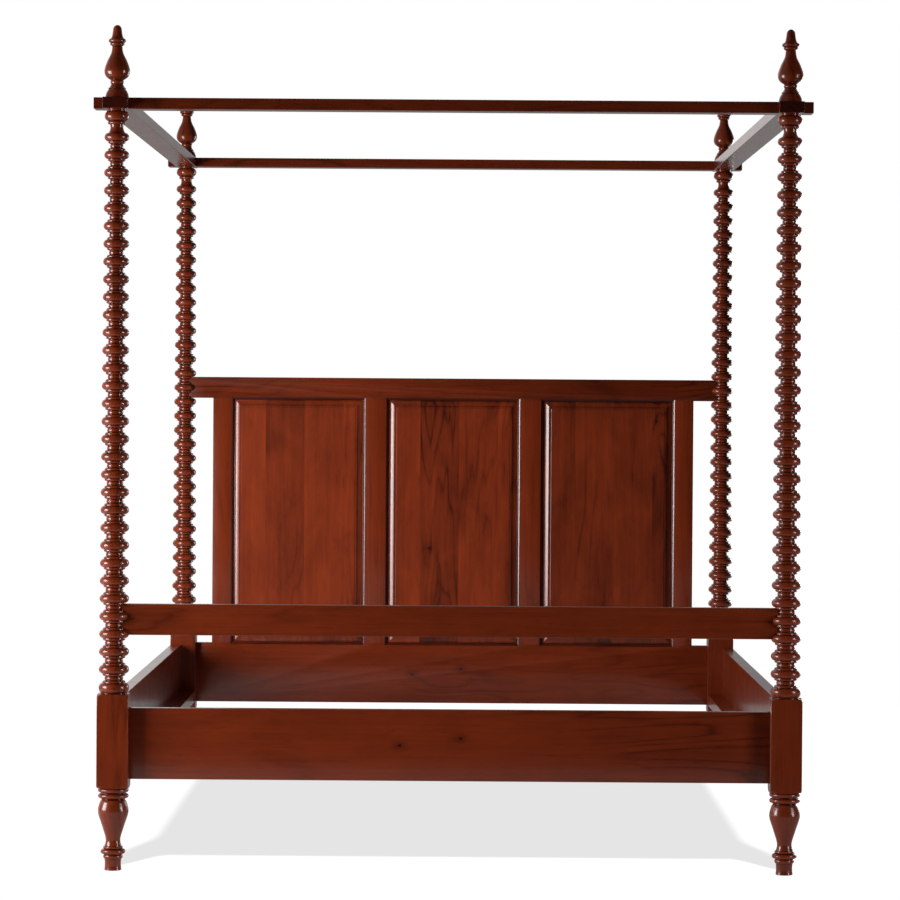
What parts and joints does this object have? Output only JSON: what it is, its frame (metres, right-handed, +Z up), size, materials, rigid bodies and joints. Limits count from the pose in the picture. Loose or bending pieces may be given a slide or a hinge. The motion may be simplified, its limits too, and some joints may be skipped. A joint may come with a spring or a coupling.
{
  "type": "four poster bed frame",
  "caption": "Four poster canopy bed frame with spool-turned posts, vase finials, flat halved tester frame, raised-panel headboard and slat ledgers.",
  "frame": {"origin": "middle of the bed at floor level, under the centre of the bounding box", "axes": "+Z up, +Y toward the headboard, +X toward the right side of someone who stands at the foot and looks at the headboard"},
  "size_m": [1.64, 2.218, 1.933],
  "materials": {
    "turned_wood": "dark red cherry stain under semi-gloss lacquer, on turned posts and finials",
    "frame_wood": "dark red cherry stain under semi-gloss lacquer, straight grained rails and stiles",
    "panel_wood": "dark red cherry stain under semi-gloss lacquer, flat-sawn glued boards",
    "ledger_wood": "the same stain, thinner lacquer",
    "dowel_wood": "bare birch dowel",
    "fitting_steel": "zinc-plated pressed steel",
    "screw_steel": "yellow-passivated wood screws"
  },
  "bodies": {
    "bed_frame": {"post_front_left": "turned_wood", "post_front_right": "turned_wood", "post_back_left": "turned_wood", "post_back_right": "turned_wood", "foot_rail_lower": "frame_wood", "foot_rail_upper": "frame_wood", "head_rail_lower": "frame_wood", "headboard_top_rail": "frame_wood", "side_rail_left": "frame_wood", "side_rail_right": "frame_wood", "slat_ledger_left": "ledger_wood", "slat_ledger_right": "ledger_wood", "headboard_stile_outer_left": "frame_wood", "headboard_stile_inner_left": "frame_wood", "headboard_stile_inner_right": "frame_wood", "headboard_stile_outer_right": "frame_wood", "headboard_panel_left": "panel_wood", "headboard_panel_middle": "panel_wood", "headboard_panel_right": "panel_wood", "post_catch_front_left": "fitting_steel", "post_catch_front_right": "fitting_steel", "post_catch_back_left": "fitting_steel", "post_catch_back_right": "fitting_steel", "rail_hooks_front_left": "fitting_steel", "rail_hooks_front_right": "fitting_steel", "rail_hooks_back_left": "fitting_steel", "rail_hooks_back_right": "fitting_steel", "hook_pins": "fitting_steel", "catch_screws": "screw_steel", "ledger_screws": "screw_steel"},
    "tester": {"tester_rail_front": "frame_wood", "tester_rail_back": "frame_wood", "tester_rail_left": "frame_wood", "tester_rail_right": "frame_wood"},
    "finial_front_left_body": {"finial_front_left": "turned_wood", "finial_pin_front_left": "dowel_wood"},
    "finial_front_right_body": {"finial_front_right": "turned_wood", "finial_pin_front_right": "dowel_wood"},
    "finial_back_left_body": {"finial_back_left": "turned_wood", "finial_pin_back_left": "dowel_wood"},
    "finial_back_right_body": {"finial_back_right": "turned_wood", "finial_pin_back_right": "dowel_wood"}
  },
  "joints": [
    {"name": "tester_lift", "type": "slide", "parent": "bed_frame", "child": "tester", "axis": [0, 0, 1], "range_m": [0, 0.1]},
    {"name": "finial_front_left_lift", "type": "slide", "parent": "tester", "child": "finial_front_left_body", "axis": [0, 0, 1], "range_m": [0, 0.08]},
    {"name": "finial_front_right_lift", "type": "slide", "parent": "tester", "child": "finial_front_right_body", "axis": [0, 0, 1], "range_m": [0, 0.08]},
    {"name": "finial_back_left_lift", "type": "slide", "parent": "tester", "child": "finial_back_left_body", "axis": [0, 0, 1], "range_m": [0, 0.08]},
    {"name": "finial_back_right_lift", "type": "slide", "parent": "tester", "child": "finial_back_right_body", "axis": [0, 0, 1], "range_m": [0, 0.08]}
  ]
}
